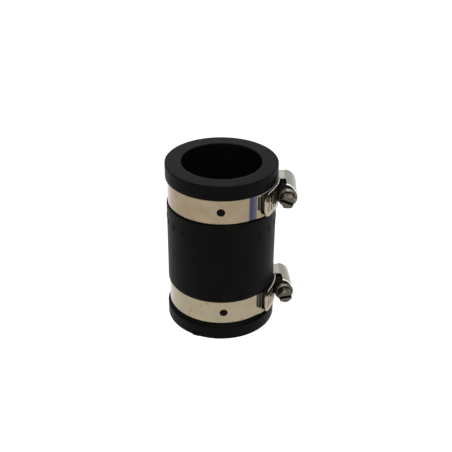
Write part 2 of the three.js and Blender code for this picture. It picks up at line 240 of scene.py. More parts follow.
# Rubber's colours, and its mould parting line
RUBBER_COLOUR = (0.0012, 0.0014, 0.0011, 1)
RUBBER_BLOOM_COLOUR = (0.0024, 0.0027, 0.0021, 1)
RUBBER_SPECK_COLOUR = (0.014, 0.014, 0.013, 1)
RUBBER_SPECULAR = 0.03
PARTING_ANGLE = -104
PARTING_HALF_WIDTH = 0.35
PARTING_SOFTNESS = 0.3

# Painted shade in the crevices of all the steel
CREVICE_SHADE_COLOUR = (0.012, 0.010, 0.008, 1)
CREVICE_SAMPLES = 8

# Strip steel, clean and tarnished
UPPER_BAND_COLOURS = ((0.28, 0.225, 0.15, 1), (0.235, 0.18, 0.115, 1))
STRIP_COLOURS = ((0.31, 0.265, 0.185, 1), (0.275, 0.23, 0.155, 1))

# Marker-pen strokes across the upper band: middle angle, half width and colour
INK_STROKES = ((-56.3, 4.4, (0.075, 0.075, 0.105, 1)), (-57.6, 2.5, (0.044, 0.05, 0.087, 1)))
INK_SOFTNESS = 0.5
INK_COVER = 0.95

# Painted reflection of the tail's shaded underside, and painted shade, on each band, from just ahead of the
# tail to the rear of the housing. It spreads up and down from the band's middle, and its lower front corner
# is cut off by (degrees, height).
TAIL_REFLECTION_START = {"upper": -49.2, "lower": -52}
TAIL_REFLECTION_END = 20
TAIL_REFLECTION_RISE = {"upper": 6.6 * MM, "lower": 9 * MM}
TAIL_REFLECTION_DROP = {"upper": 3.4 * MM, "lower": 3.2 * MM}
TAIL_REFLECTION_CORNER = (4, 1.8 * MM)
TAIL_REFLECTION_RAGGEDNESS = 0.8 * MM
TAIL_REFLECTION_WOBBLE = 0.5
TAIL_REFLECTION_SOFTNESS = 0.3 * MM
TAIL_REFLECTION_SOFT_ANGLE = 0.4
TAIL_REFLECTION_COLOUR = (0.010, 0.009, 0.008, 1)
TAIL_REFLECTION_PALE_COLOUR = (0.02, 0.017, 0.013, 1)

# Two lighter streaks in it, painted reflections of the tail's slots: angle from its start, and half width
SLOT_REFLECTION_STREAKS = ((2.6, 0.6), (6.5, 0.45))
SLOT_REFLECTION_COLOUR = (0.085, 0.075, 0.062, 1)

# Grease on the screw, thick and thin
SCREW_GREASE_COLOURS = ((0.006, 0.005, 0.004, 1), (0.022, 0.019, 0.014, 1))
SCREW_GREASE_SPECULAR = 0.2

# Stains on the bands: cycles per millimetre, the noise's span from clean to stained, and colour
STAINS = ((0.13, 0.66, 0.72, (0.16, 0.11, 0.07, 1)), (0.8, 0.72, 0.77, (0.06, 0.045, 0.03, 1)))
STAIN_COVER = 0.45

# Painted highlights on the strip's top and bottom edges: how far a face has to turn towards Z to count as
# one, and their painted colour
BAND_EDGE_HIGHLIGHT = (0.75, 0.95, (0.55, 0.54, 0.5, 1))
TAIL_EDGE_HIGHLIGHT = (0.9, 0.98, (0.4, 0.39, 0.36, 1))

# Specular level of a band where the painted tail reflection and shade, or a painted edge highlight, makes it
# matt
MATT_SPECULAR = 0.04

# A cutter runs this far past the faces it cuts
OVERRUN = 2 * MM

# Points nearer to each other than this are merged
MERGE_REACH = 1e-7
STRIP_MERGE_REACH = 1e-6

# Floor: half its side in metres, its two greys, and its finish with its own light
WHITE = (1, 1, 1, 1)
FLOOR_REACH = 30
FLOOR_COLOURS = ((0.24, 0.24, 0.24, 1), (0.28, 0.28, 0.28, 1))
FLOOR_FINISH = {
    "Roughness": 0.9,
    "Specular IOR Level": 0.1,
    "Emission Color": WHITE,
    "Emission Strength": 0.88,
}

# Lighting. Each light has a name, a position, a target, a size and a power in watts.
SURROUNDINGS_STRENGTH = 0.8
LIGHTS = (
    ("overhead", (0.1, -0.55, 1.1), (0, 0, 0.05), (1.1, 1.1), 13),
    ("behind", (-0.5, 1.3, 0.75), (0, 0, 0.1), (1.6, 0.8), 4.3),
)

# Camera: position, angles in radians, and lens and sensor in millimetres
CAMERA_POSITION = (-0.22 * MM, -439.1 * MM, 319.05 * MM)
CAMERA_YAW = 0.0072
CAMERA_PITCH = 0.53
CAMERA_ROLL = -0.0094
CAMERA_LENS = 65.29
CAMERA_SENSOR = 36
CAMERA_CLIP = (0.01, 50)


# ---- small helpers


def smoothstep(t):
    """Eases from 0 to 1 as t goes from 0 to 1."""
    clamped = min(1.0, max(0.0, t))
    return clamped * clamped * (3 - 2 * clamped)


def steps(start, end, count):
    """Count + 1 evenly spaced numbers from start to end."""
    return [start + (end - start) * i / count for i in range(count + 1)]


def polar(radius, degrees, z=0.0):
    """Point at an angle about the Z axis."""
    angle = math.radians(degrees)
    return Vector((radius * math.cos(angle), radius * math.sin(angle), z))


def add_object(name, data):
    """New object in the scene."""
    obj = bpy.data.objects.new(name, data)
    bpy.context.scene.collection.objects.link(obj)
    return obj


def make_object(name, vertices, faces):
    """Mesh object in the scene."""
    mesh = bpy.data.meshes.new(name)
    mesh.from_pydata([tuple(v) for v in vertices], [], faces)
    mesh.validate()
    return add_object(name, mesh)


def tidy_mesh(obj, merge=MERGE_REACH):
    """Merges doubled points and turns every face outwards."""
    work = bmesh.new()
    work.from_mesh(obj.data)
    bmesh.ops.remove_doubles(work, verts=work.verts, dist=merge)
    bmesh.ops.recalc_face_normals(work, faces=work.faces)
    work.to_mesh(obj.data)
    work.free()


def modify(obj, kind, **settings):
    """Adds a modifier."""
    modifier = obj.modifiers.new(kind.lower(), kind)
    for key, value in settings.items():
        setattr(modifier, key, value)


def apply_modifiers(obj):
    """Turns the object, with its modifiers, into a plain mesh."""
    graph = bpy.context.evaluated_depsgraph_get()
    mesh = bpy.data.meshes.new_from_object(obj.evaluated_get(graph))
    obj.modifiers.clear()
    obj.data = mesh


def cut(obj, cutter, operation="DIFFERENCE"):
    """Cuts obj with a closed mesh, which is then deleted."""
    modify(obj, "BOOLEAN", object=cutter, operation=operation, solver="EXACT")
    apply_modifiers(obj)
    bpy.data.objects.remove(cutter)


def shade_smooth(obj):
    """Shades every face smooth."""
    for face in obj.data.polygons:
        face.use_smooth = True


def soften(obj, width, angle=40):
    """Rounds the edges sharper than an angle, and shades the rest smooth."""
    modify(
        obj,
        "BEVEL",
        width=width,
        segments=2,
        limit_method="ANGLE",
        angle_limit=math.radians(angle),
        harden_normals=True,
    )
    shade_smooth(obj)
    apply_modifiers(obj)


def join(name, objects):
    """One object from several, by their meshes."""
    work = bmesh.new()
    for obj in objects:
        work.from_mesh(obj.data)
        bpy.data.objects.remove(obj)
    mesh = bpy.data.meshes.new(name)
    work.to_mesh(mesh)
    work.free()
    return add_object(name, mesh)


def tube_faces(bands, count, first=0):
    """Faces of a tube's bands, between rings of count points each, from point number first on."""
    faces = []
    for ring in range(bands):
        for i in range(count):
            a = first + ring * count + i
            b = first + ring * count + (i + 1) % count
            faces.append((a, b, b + count, a + count))
    return faces


def end_faces(bands, count):
    """The two faces that close such a tube."""
    return [tuple(range(count)), tuple(range(bands * count, (bands + 1) * count))]


def prism(name, outline, low, high, axis):
    """Closed prism over an outline. Axis "z" reads the outline as X and Y, and "y" as X and Z."""
    count = len(outline)

    def point(a, b, along):
        return (a, b, along) if axis == "z" else (a, along, b)

    vertices = [point(a, b, along) for along in (low, high) for a, b in outline]
    obj = make_object(name, vertices, end_faces(1, count) + tube_faces(1, count))
    tidy_mesh(obj)
    return obj


def revolve(name, profile, segments, axis, offset=0.0):
    """Closed body turned about a line along "y" or "z", offset along X. The profile is (radius, along)."""
    vertices = []
    for i in range(segments):
        angle = 2 * math.pi * i / segments
        for radius, along in profile:
            x = offset + radius * math.cos(angle)
            side = radius * math.sin(angle)
            vertices.append((x, along, side) if axis == "y" else (x, side, along))
    faces = [[i % len(vertices) for i in face] for face in tube_faces(segments, len(profile))]
    obj = make_object(name, vertices, faces)
    tidy_mesh(obj)
    return obj


def place(obj, clamp, *materials):
    """Moves a piece from the clamp's own frame to its place on the sleeve, and gives it materials."""
    obj.data.transform(clamp["matrix"])
    for material in materials:
        obj.data.materials.append(material)
    return obj


# ---- facts from the frame


def read_clamp(prefix):
    """Where a clamp sits, from its screw's joint and its band's box."""
    joint = next(j for j in frame["joints"] if j["name"] == f"{prefix}_screw_turn")
    low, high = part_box(f"{prefix}_band")
    x, y, _ = joint["pos_m"]
    angle = math.atan2(y, x)
    middle = (low.z + high.z) / 2
    return {
        "prefix": prefix,
        "screw_offset": math.hypot(x, y),
        "middle": middle,
        "angle": math.degrees(angle),
        "width": high.z - low.z,
        "matrix": Matrix.Translation((0, 0, middle)) @ Matrix.Rotation(angle, 4, "Z"),
    }


CLAMPS = [read_clamp("upper"), read_clamp("lower")]
SLEEVE_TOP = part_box("sleeve")[1].z
RIM_RADIUS = -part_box("sleeve")[0].x


# ---- materials


def new_material(name, fixed):
    """Material with its shader's fixed inputs. Returns the material, its tree and the shader."""
    material = bpy.data.materials.new(name)
    material.use_nodes = True
    tree = material.node_tree
    shader = tree.nodes["Principled BSDF"]
    for key, value in fixed.items():
        shader.inputs[key].default_value = value
    return material, tree, shader


def add_node(tree, kind, **values):
    """New node. Values name its properties, or its input sockets."""
    node = tree.nodes.new(kind)
    for key, value in values.items():
        if key in node.inputs:
            node.inputs[key].default_value = value
        else:
            setattr(node, key, value)
    return node


def object_position(tree, scale):
    """Object coordinates in millimetres, times scale."""
    coordinates = tree.nodes.new("ShaderNodeTexCoord")
    mapping = tree.nodes.new("ShaderNodeMapping")
    mapping.inputs["Scale"].default_value = [s / MM for s in scale]
    tree.links.new(coordinates.outputs["Object"], mapping.inputs["Vector"])
    return mapping.outputs["Vector"]


def noise_value(tree, scale, detail=4, roughness=0.55, stretch=(1, 1, 1)):
    """Noise from 0 to 1. Scale is in cycles per millimetre, and stretch multiplies it along each axis."""
    node = add_node(tree, "ShaderNodeTexNoise", Scale=scale, Detail=detail, Roughness=roughness)
    tree.links.new(object_position(tree, stretch), node.inputs["Vector"])
    return node.outputs["Fac"]


def remap(tree, value, low, high, start=0.0, end=1.0):
    """Value from start to end becomes low to high, and stays within them."""
    node = tree.nodes.new("ShaderNodeMapRange")
    for key, number in (("From Min", start), ("From Max", end), ("To Min", low), ("To Max", high)):
        node.inputs[key].default_value = number
    tree.links.new(value, node.inputs["Value"])
    return node.outputs["Result"]


def mix_colour(tree, factor, first, second):
    """Blend of two colours, each a socket or four numbers."""
    node = tree.nodes.new("ShaderNodeMix")
    node.data_type = "RGBA"
    tree.links.new(factor, node.inputs["Factor"])
    for socket, colour in ((node.inputs[6], first), (node.inputs[7], second)):
        if isinstance(colour, bpy.types.NodeSocket):
            tree.links.new(colour, socket)
        else:
            socket.default_value = colour
    return node.outputs[2]


def calculate(tree, operation, first, second):
    """Math node on sockets or numbers."""
    node = tree.nodes.new("ShaderNodeMath")
    node.operation = operation
    for socket, value in zip(node.inputs, (first, second)):
        if isinstance(value, bpy.types.NodeSocket):
            tree.links.new(value, socket)
        else:
            socket.default_value = value
    return node.outputs["Value"]


def add_bump(tree, shader, height, distance, strength):
    """Bump, on top of any bump that the shader already has. Distance is in metres."""
    node = add_node(tree, "ShaderNodeBump", Strength=strength, Distance=distance)
    tree.links.new(height, node.inputs["Height"])
    normal = shader.inputs["Normal"]
    if normal.is_linked:
        tree.links.new(normal.links[0].from_socket, node.inputs["Normal"])
    tree.links.new(node.outputs["Normal"], normal)


def split_coordinates(tree, kind):
    """X, Y and Z of the Object coordinates, in metres, or of the Normal."""
    coordinates = tree.nodes.new("ShaderNodeTexCoord")
    split = tree.nodes.new("ShaderNodeSeparateXYZ")
    tree.links.new(coordinates.outputs[kind], split.inputs["Vector"])
    return split.outputs


def azimuth(tree):
    """Angle about the sleeve's axis, in degrees from +X."""
    position = split_coordinates(tree, "Object")
    angle = calculate(tree, "ARCTAN2", position["Y"], position["X"])
    return calculate(tree, "MULTIPLY", angle, 180 / math.pi)


def stripe_mask(tree, angle, centre, half_width, edge):
    """1 inside a stripe of angles and 0 outside, with soft edges."""
    distance = calculate(tree, "ABSOLUTE", calculate(tree, "SUBTRACT", angle, centre), 0)
    return remap(tree, distance, 1, 0, half_width - edge, half_width + edge)


def rubber_material():
    """Black moulded rubber: satin, finely grained, faintly bloomed, with a mould parting line."""
    material, tree, shader = new_material("black_rubber", {"Specular IOR Level": RUBBER_SPECULAR})
    bloom = remap(tree, noise_value(tree, scale=0.09, detail=5), 0, 1, start=0.35, end=0.75)
    colour = mix_colour(tree, bloom, RUBBER_COLOUR, RUBBER_BLOOM_COLOUR)
    specks = remap(tree, noise_value(tree, scale=1.9, detail=2), 0, 0.35, start=0.72, end=0.78)
    colour = mix_colour(tree, specks, colour, RUBBER_SPECK_COLOUR)
    tree.links.new(colour, shader.inputs["Base Color"])
    roughness = remap(tree, noise_value(tree, scale=0.25, detail=6), 0.38, 0.5)
    tree.links.new(roughness, shader.inputs["Roughness"])
    parting = stripe_mask(tree, azimuth(tree), PARTING_ANGLE, PARTING_HALF_WIDTH, PARTING_SOFTNESS)
    add_bump(tree, shader, parting, distance=0.12 * MM, strength=0.6)
    add_bump(tree, shader, noise_value(tree, scale=0.12, detail=2), distance=0.3 * MM, strength=0.35)
    add_bump(tree, shader, noise_value(tree, scale=3.2, detail=3), distance=0.02 * MM, strength=0.5)
    return material


def painted_crevice_shade(tree, shade, reach, hidden_share, open_share):
    """Paints shade into a colour where less than the open share of the light within reach gets in.

    The painted shade is darkest at the hidden share and below.
    """
    surroundings = add_node(tree, "ShaderNodeAmbientOcclusion", samples=CREVICE_SAMPLES, Distance=reach)
    amount = remap(tree, surroundings.outputs["AO"], 1, 0, hidden_share, open_share)
    return mix_colour(tree, amount, shade, CREVICE_SHADE_COLOUR)


def facing(tree, axis, start, end):
    """1 where the surface faces along an axis of the object, either way, and 0 where it doesn't."""
    normal = split_coordinates(tree, "Normal")
    return remap(tree, calculate(tree, "ABSOLUTE", normal[axis], 0), 0, 1, start, end)


def steel_material(
    name, colour, tarnish, roughness, grain, grain_depth, crevice_shade, patch=None, blotch_scale=0.11
):
    """Bare steel, blotched with tarnish. Returns the material, its tree, the shader and the colour.

    Grain is the lines' frequency along each axis, so lines run where it is low. Roughness is its lowest
    and highest, the crevice argument is the reach and the two shares of the painted shade in its crevices,
    and a patch is (axis, start, end, colour) for faces that look along an axis.
    """
    material, tree, shader = new_material(name, {"Metallic": 1.0})
    blotches = remap(tree, noise_value(tree, blotch_scale, detail=5), 0, 1, start=0.35, end=0.68)
    shade = mix_colour(tree, blotches, colour, tarnish)
    lines = noise_value(tree, scale=1.0, detail=5, roughness=0.65, stretch=grain)
    smudges = noise_value(tree, scale=0.35, detail=4)
    unevenness = calculate(tree, "ADD", lines, smudges)
    tree.links.new(remap(tree, unevenness, *roughness, start=0.6, end=1.4), shader.inputs["Roughness"])
    if patch:
        axis, start, end, patch_colour = patch
        shade = mix_colour(tree, facing(tree, axis, start, end), shade, patch_colour)
    # Painted shade: a darker colour where the surroundings close in
    shade = painted_crevice_shade(tree, shade, *crevice_shade)
    tree.links.new(shade, shader.inputs["Base Color"])
    add_bump(tree, shader, lines, distance=grain_depth, strength=0.5)
    add_bump(tree, shader, noise_value(tree, scale=0.18, detail=2), distance=0.05 * MM, strength=0.3)
    return material, tree, shader, shade


def wobbly_azimuth(tree):
    """Azimuth with a slow irregular shift, so that the edges of the painted tail reflection aren't straight.
    """
    shift = remap(tree, noise_value(tree, scale=0.3, detail=4), -TAIL_REFLECTION_WOBBLE, TAIL_REFLECTION_WOBBLE)
    return calculate(tree, "ADD", azimuth(tree), shift)


def tail_reflection_mask(tree, clamp):
    """1 where a clamp's tail's painted reflection and shade lie on its band, ragged below, and 0 elsewhere.
    """
    prefix = clamp["prefix"]
    front = clamp["angle"] + TAIL_REFLECTION_START[prefix]
    angle = wobbly_azimuth(tree)
    height = calculate(tree, "SUBTRACT", split_coordinates(tree, "Object")["Z"], clamp["middle"])
    corner_angle, corner_height = TAIL_REFLECTION_CORNER
    corner = remap(tree, angle, corner_height, 0, start=front, end=front + corner_angle)
    ragged = remap(tree, noise_value(tree, scale=0.5, detail=3), -TAIL_REFLECTION_RAGGEDNESS, TAIL_REFLECTION_RAGGEDNESS)
    bottom = calculate(tree, "SUBTRACT", calculate(tree, "ADD", ragged, corner), TAIL_REFLECTION_DROP[prefix])
    above_bottom = calculate(tree, "SUBTRACT", height, bottom)
    below_top = calculate(tree, "SUBTRACT", TAIL_REFLECTION_RISE[prefix], height)
    inside = calculate(tree, "MINIMUM", above_bottom, below_top)
    within = remap(tree, inside, 0, 1, start=-TAIL_REFLECTION_SOFTNESS, end=TAIL_REFLECTION_SOFTNESS)
    half_width = (TAIL_REFLECTION_END - TAIL_REFLECTION_START[prefix]) / 2
    stripe = stripe_mask(tree, angle, front + half_width, half_width, TAIL_REFLECTION_SOFT_ANGLE)
    return calculate(tree, "MULTIPLY", within, stripe)


def tail_reflection_shade(tree, clamp):
    """Painted colour of the tail's reflection and shade on a clamp's band, with the two lighter painted
    reflections of its slots.
    """
    paleness = remap(tree, noise_value(tree, scale=0.5, detail=4), 0, 1, start=0.45, end=0.7)
    shade = mix_colour(tree, paleness, TAIL_REFLECTION_COLOUR, TAIL_REFLECTION_PALE_COLOUR)
    for offset, half_width in SLOT_REFLECTION_STREAKS:
        middle = clamp["angle"] + TAIL_REFLECTION_START[clamp["prefix"]] + offset
        streak = stripe_mask(tree, azimuth(tree), middle, half_width, TAIL_REFLECTION_SOFT_ANGLE)
        shade = mix_colour(tree, streak, shade, SLOT_REFLECTION_COLOUR)
    return shade


def band_material(name, colour, tarnish, reflected_tail_clamp=None, edge=None, ink=False):
    """Bright rolled strip with fine lines round the sleeve, and a few stains and specks.

    The clamp argument is the clamp whose tail's painted reflection and painted shade lie on the band, and
    edge is the painted highlight on its edges, as the edge highlight constants give it: a strip has at least
    one of the two. Ink is the marker-pen stripe.
    """
    material, tree, shader, shade = steel_material(
        name,
        colour=colour,
        tarnish=tarnish,
        roughness=(0.1, 0.2),
        grain=(0.05, 0.05, 9),
        grain_depth=0.004 * MM,
        # Painted shade in the band's crevices and under the tail
        crevice_shade=(3.5 * MM, 0.3, 0.9),
    )
    for scale, start, end, stain in STAINS:
        mask = remap(tree, noise_value(tree, scale, detail=2), 0, STAIN_COVER, start, end)
        shade = mix_colour(tree, mask, shade, stain)
    matt_masks = []
    # Painted highlight on the strip's edges, in a bright matt colour
    if edge:
        start, end, highlight_colour = edge
        matt_masks.append(facing(tree, "Z", start, end))
        shade = mix_colour(tree, matt_masks[-1], shade, highlight_colour)
    # Painted reflection of the tail's shaded underside, and painted shade under the tail and housing
    if reflected_tail_clamp:
        matt_masks.append(tail_reflection_mask(tree, reflected_tail_clamp))
        shade = mix_colour(tree, matt_masks[-1], shade, tail_reflection_shade(tree, reflected_tail_clamp))
    if ink:
        angle = azimuth(tree)
        for centre, half_width, ink_colour in INK_STROKES:
            stroke = stripe_mask(tree, angle, centre, half_width, INK_SOFTNESS)
            shade = mix_colour(tree, calculate(tree, "MULTIPLY", stroke, INK_COVER), shade, ink_colour)
    tree.links.new(shade, shader.inputs["Base Color"])
    metallic = 1.0
    for mask in matt_masks:
        metallic = calculate(tree, "MULTIPLY", remap(tree, mask, 1, 0), metallic)
    tree.links.new(metallic, shader.inputs["Metallic"])
    shader.inputs["Specular IOR Level"].default_value = MATT_SPECULAR
    return material


def housing_material():
    """Stamped steel with fine lines, a painted highlight on its front and rear edge faces, and painted shade
    in its crevices.
    """
    return steel_material(
        "housing_steel",
        colour=(0.38, 0.37, 0.315, 1),
        tarnish=(0.32, 0.31, 0.26, 1),
        roughness=(0.28, 0.42),
        grain=(2, 0.15, 2),
        grain_depth=0.006 * MM,
        # Painted shade in the housing's crevices and inside it
        crevice_shade=(5 * MM, 0.15, 0.6),
        # Painted highlight: near-white colour on the faces that look along Y, the housing's front and rear
        # edges
        patch=("Y", 0.3, 0.55, (0.9, 0.89, 0.86, 1)),
    )[0]


def screw_material():
    """Plated screw: greyer and blotched, with painted shade in its recesses, and darker on its end face."""
    return steel_material(
        "screw_steel",
        colour=(0.18, 0.168, 0.132, 1),
        tarnish=(0.045, 0.038, 0.028, 1),
        roughness=(0.3, 0.46),
        grain=(0.9, 0.9, 0.9),
        grain_depth=0.05 * MM,
        # Painted shade in the screw's recesses
        crevice_shade=(3 * MM, 0.35, 0.95),
        patch=("Y", 0.9, 0.97, (0.085, 0.078, 0.056, 1)),
        blotch_scale=0.5,
    )[0]


def grease_material():
    """Dark old grease that coats the screw inside its housing."""
    material, tree, shader = new_material("dark_grease", {"Specular IOR Level": SCREW_GREASE_SPECULAR})
    lumps = noise_value(tree, scale=0.8, detail=3)
    tree.links.new(mix_colour(tree, lumps, *SCREW_GREASE_COLOURS), shader.inputs["Base Color"])
    tree.links.new(remap(tree, lumps, 0.35, 0.6), shader.inputs["Roughness"])
    add_bump(tree, shader, lumps, distance=0.05 * MM, strength=0.5)
    return material


# ---- sleeve


def rounded_corner(radius, z, rounding, start_angle):
    """Quarter circle of a profile corner, from start_angle on."""
    return [
        (radius + rounding * math.cos(math.radians(a)), z + rounding * math.sin(math.radians(a)))
        for a in steps(start_angle, start_angle + 90, CORNER_STEPS)
    ]


def raised_band(radius, bottom, top, rounding):
    """Outside of a rim or of the body: a rounded corner below and one above."""
    return [
        *rounded_corner(radius - rounding, bottom + rounding, rounding, -90),
        *rounded_corner(radius - rounding, top - rounding, rounding, 0),
    ]


def sleeve_profile():
    """Closed outline of the sleeve's wall as (radius, height), with points added on its long straights."""
    corners = [
        *rounded_corner(BORE_RADIUS + BORE_ROUNDING, BORE_ROUNDING, BORE_ROUNDING, 180),
        *raised_band(RIM_RADIUS, 0, LOWER_RIM_TOP, RIM_ROUNDING),
        (GROOVE_RADIUS, LOWER_RIM_TOP),
        (GROOVE_RADIUS, LOWER_GROOVE_TOP),
        *raised_band(BODY_RADIUS, LOWER_GROOVE_TOP, UPPER_GROOVE_BOTTOM, BODY_ROUNDING),
        (GROOVE_RADIUS, UPPER_GROOVE_BOTTOM),
        (GROOVE_RADIUS, UPPER_RIM_BOTTOM),
        *raised_band(RIM_RADIUS, UPPER_RIM_BOTTOM, SLEEVE_TOP, RIM_ROUNDING),
        *rounded_corner(BORE_RADIUS + BORE_ROUNDING, SLEEVE_TOP - BORE_ROUNDING, BORE_ROUNDING, 90),
    ]
    profile = []
    for start, end in zip(corners, corners[1:] + corners[:1]):
        pieces = max(1, round(math.dist(start, end) / WALL_STEP))
        for share in steps(0, 1, pieces)[:-1]:
            profile.append(tuple(a + (b - a) * share for a, b in zip(start, end)))
    return profile


def pressed_in(point):
    """Moves a point of the sleeve's outside inwards where a clamp's saddle and housing press into it."""
    radius = math.hypot(point.x, point.y)
    if radius <= GROOVE_RADIUS:
        return point
    for clamp in CLAMPS:
        around = math.degrees(math.atan2(point.y, point.x)) - clamp["angle"]
        middle_angle = sum(SADDLE_ANGLES) / 2
        reach = (SADDLE_ANGLES[1] - SADDLE_ANGLES[0]) / 2 + POCKET_MARGIN_ANGLE
        beside = (abs(around - middle_angle) - reach) * math.radians(radius)
        above = abs(point.z - clamp["middle"]) - HOUSING_HALF_WIDTH - POCKET_MARGIN
        depth = smoothstep(1 - max(beside, above) / POCKET_FADE)
        radius -= depth * (radius - GROOVE_RADIUS)
    flat = Vector((point.x, point.y)).normalized() * radius
    return Vector((flat.x, flat.y, point.z))


def build_sleeve_body():
    """Rubber tube with its rims and grooves, the clamps' pockets, and a slightly uneven surface."""
    obj = revolve("sleeve_body", sleeve_profile(), SLEEVE_SEGMENTS, "z")
    for vertex in obj.data.vertices:
        point = pressed_in(vertex.co)
        outwards = Vector((point.x, point.y, 0)).normalized()
        wave = noise.noise(point * SLEEVE_WAVES_PER_METRE) * SLEEVE_WAVE
        vertex.co = point - outwards * abs(wave)
    shade_smooth(obj)
    modify(obj, "EDGE_SPLIT", split_angle=math.radians(SLEEVE_SHARP_ANGLE))
    apply_modifiers(obj)
    tidy_mesh(obj)
    return obj


def build_stud(clamp):
    """Low domed stud moulded on the groove's floor."""
    root = GROOVE_RADIUS - OVERRUN / 2
    dome = [(STUD_RADIUS - inset, STUD_TOP - depth) for inset, depth in STUD_DOME]
    stud = revolve("stud", [(0, root), (STUD_RADIUS, root), *dome, (0, STUD_TOP)], STUD_SEGMENTS, "y")
    turn = Matrix.Rotation(math.radians(STUD_ANGLES[clamp["prefix"]] - 90), 4, "Z")
    stud.data.transform(Matrix.Translation((0, 0, clamp["middle"])) @ turn)
    return stud


def block(size, centre):
    """Box with its middle at centre."""
    x, y, z = (side / 2 for side in size)
    obj = prism("block", [(-x, -y), (x, -y), (x, y), (-x, y)], -z, z, "z")
    obj.data.transform(Matrix.Translation(centre))
    return obj


def build_marks():
    """Generic raised bars round the body, in place of moulded size marks."""
    marks = []
    middle = Vector((BODY_RADIUS + MARK_PROUD - MARK_SIZE[0] / 2, 0, MARK_HEIGHT))
    for index in range(MARK_COUNT):
        bar = block(MARK_SIZE, middle)
        bar.data.transform(Matrix.Rotation(2 * math.pi * index / MARK_COUNT, 4, "Z"))
        marks.append(bar)
    obj = join("sleeve_marks", marks)
    soften(obj, MARK_ROUNDING)
    return obj


def build_gate():
    """Torn stub where the moulding gate was trimmed off the lower rim."""
    stub = block(GATE_SIZE, Vector((RIM_RADIUS - GATE_INSET, 0, GATE_SIZE[2] / 2 + GATE_LIFT)))
    levels = GATE_SUBDIVISIONS
    modify(stub, "SUBSURF", levels=levels, render_levels=levels, subdivision_type="SIMPLE")
    apply_modifiers(stub)
    for vertex in stub.data.vertices:
        tear = noise.noise(vertex.co * GATE_TEARS_PER_METRE) * GATE_TEAR
        vertex.co += Vector((tear - GATE_INSET, tear * GATE_SIDEWAYS_SHARE, max(0.0, tear)))
    stub.data.transform(Matrix.Rotation(math.radians(GATE_ANGLE), 4, "Z"))
    shade_smooth(stub)
    return stub


def build_sleeve(material):
    """The sleeve in three pieces of one rubber: its body, its studs and its raised marks."""
    body = join("sleeve_rubber", [build_sleeve_body(), build_gate()])
    studs = join("sleeve_studs", [build_stud(clamp) for clamp in CLAMPS])
    shade_smooth(studs)
    marks = build_marks()
    for obj in (body, studs, marks):
        obj.data.materials.append(material)
        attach(obj, ROOT)
    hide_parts("sleeve")


# ---- strip


def rounded_point(u, v, half_length, half_width, rounding):
    """Point of a rounded rectangle, for a point (u, v) on the edge of the square from -1 to 1."""
    point = Vector((u * half_length, v * half_width))
    core_length = half_length - rounding
    core_width = half_width - rounding
    core = Vector((max(-core_length, min(core_length, point.x)), max(-core_width, min(core_width, point.y))))
    return core + (point - core).normalized() * rounding


def square_edge(across, rows):
    """Points round the edge of the square from -1 to 1, in order."""
    along = steps(-1, 1, across)
    up = steps(-1, 1, rows)
    bottom = [(a, -1) for a in along]
    right = [(1, b) for b in up[1:]]
    top = [(a, 1) for a in reversed(along[:-1])]
    left = [(-1, b) for b in reversed(up[1:-1])]
    return [*bottom, *right, *top, *left]


class FlatStrip:
    """A strip laid flat: X along it, Y across it. Cells follow each other from start on."""

    def __init__(self, start, width):
        self.x = start
        self.width = width
        self.vertices = []
        self.faces = []

    def plain(self, end, step):
        """Plain strip up to end."""
        for x in steps(self.x, end, max(1, math.ceil(abs(end - self.x) / step)))[1:]:
            first = len(self.vertices)
            rows = steps(-self.width / 2, self.width / 2, STRIP_ROWS)
            self.vertices += [(self.x, y) for y in rows] + [(x, y) for y in rows]
            count = len(rows)
            for row in range(STRIP_ROWS):
                a = first + row
                self.faces.append((a, a + count, a + count + 1, a + 1))
            self.x = x

    def pierced(self, end, columns, hole, slope=0.0):
        """A cell with a rounded hole in its middle. Hole is (length along, width across, rounding).

        Slope is how far the hole leans along the strip for each metre across it.
        """
        centre = (self.x + end) / 2
        half = (end - self.x) / 2
        direction = math.copysign(1, half)
        edge = square_edge(columns, STRIP_ROWS)
        first = len(self.vertices)
        for share in steps(0, 1, HOLE_RINGS):
            for u, v in edge:
                outer = Vector((centre + u * half, v * self.width / 2))
                inside = rounded_point(u * direction, v, hole[0] / 2, hole[1] / 2, hole[2])
                inner = Vector((centre + inside.x + slope * inside.y, inside.y))
                point = outer.lerp(inner, share**RING_POWER)
                self.vertices.append((point.x, point.y))
        self.faces += tube_faces(HOLE_RINGS, len(edge), first)
        self.x = end

    def bend(self, name, place_point):
        """Rolls the strip up with place_point(x, y), and gives it its thickness and rounded edges."""
        obj = make_object(name, [place_point(x, y) for x, y in self.vertices], self.faces)
        tidy_mesh(obj, merge=STRIP_MERGE_REACH)
        modify(obj, "SOLIDIFY", thickness=STRIP_THICKNESS, offset=0, use_even_offset=True)
        soften(obj, STRIP_EDGE, angle=STRIP_SHARP_ANGLE)
        return obj


def arc(degrees, radius):
    """Length of an arc."""
    return math.radians(degrees) * radius


def band_radius(angle):
    """Middle of the inner wrap, which climbs over the saddle and stands off the rubber in front of it."""
    foot, top = FRONT_CLIMB if angle < 0 else REAR_CLIMB
    return WRAP_RADIUS + SADDLE_RISE * smoothstep((foot - angle) / (foot - top))


def tail_radius(angle, lift):
    """Middle of the outer wrap: on the sleeve behind, over the head end, then lifting off in front."""
    climb = smoothstep((TAIL_CLIMB[0] - angle) / (TAIL_CLIMB[0] - TAIL_CLIMB[1]))
    spring = smoothstep((TAIL_SPRING_ANGLES[0] - angle) / (TAIL_SPRING_ANGLES[0] - TAIL_SPRING_ANGLES[1]))
    along = max(0.0, (TAIL_LIFT_START - angle) / (TAIL_LIFT_START - TAIL_TIP))
    raised = (TAIL_RADIUS - WRAP_RADIUS) * climb + TAIL_SPRING * spring
    return WRAP_RADIUS + raised + lift * along**TAIL_LIFT_POWER


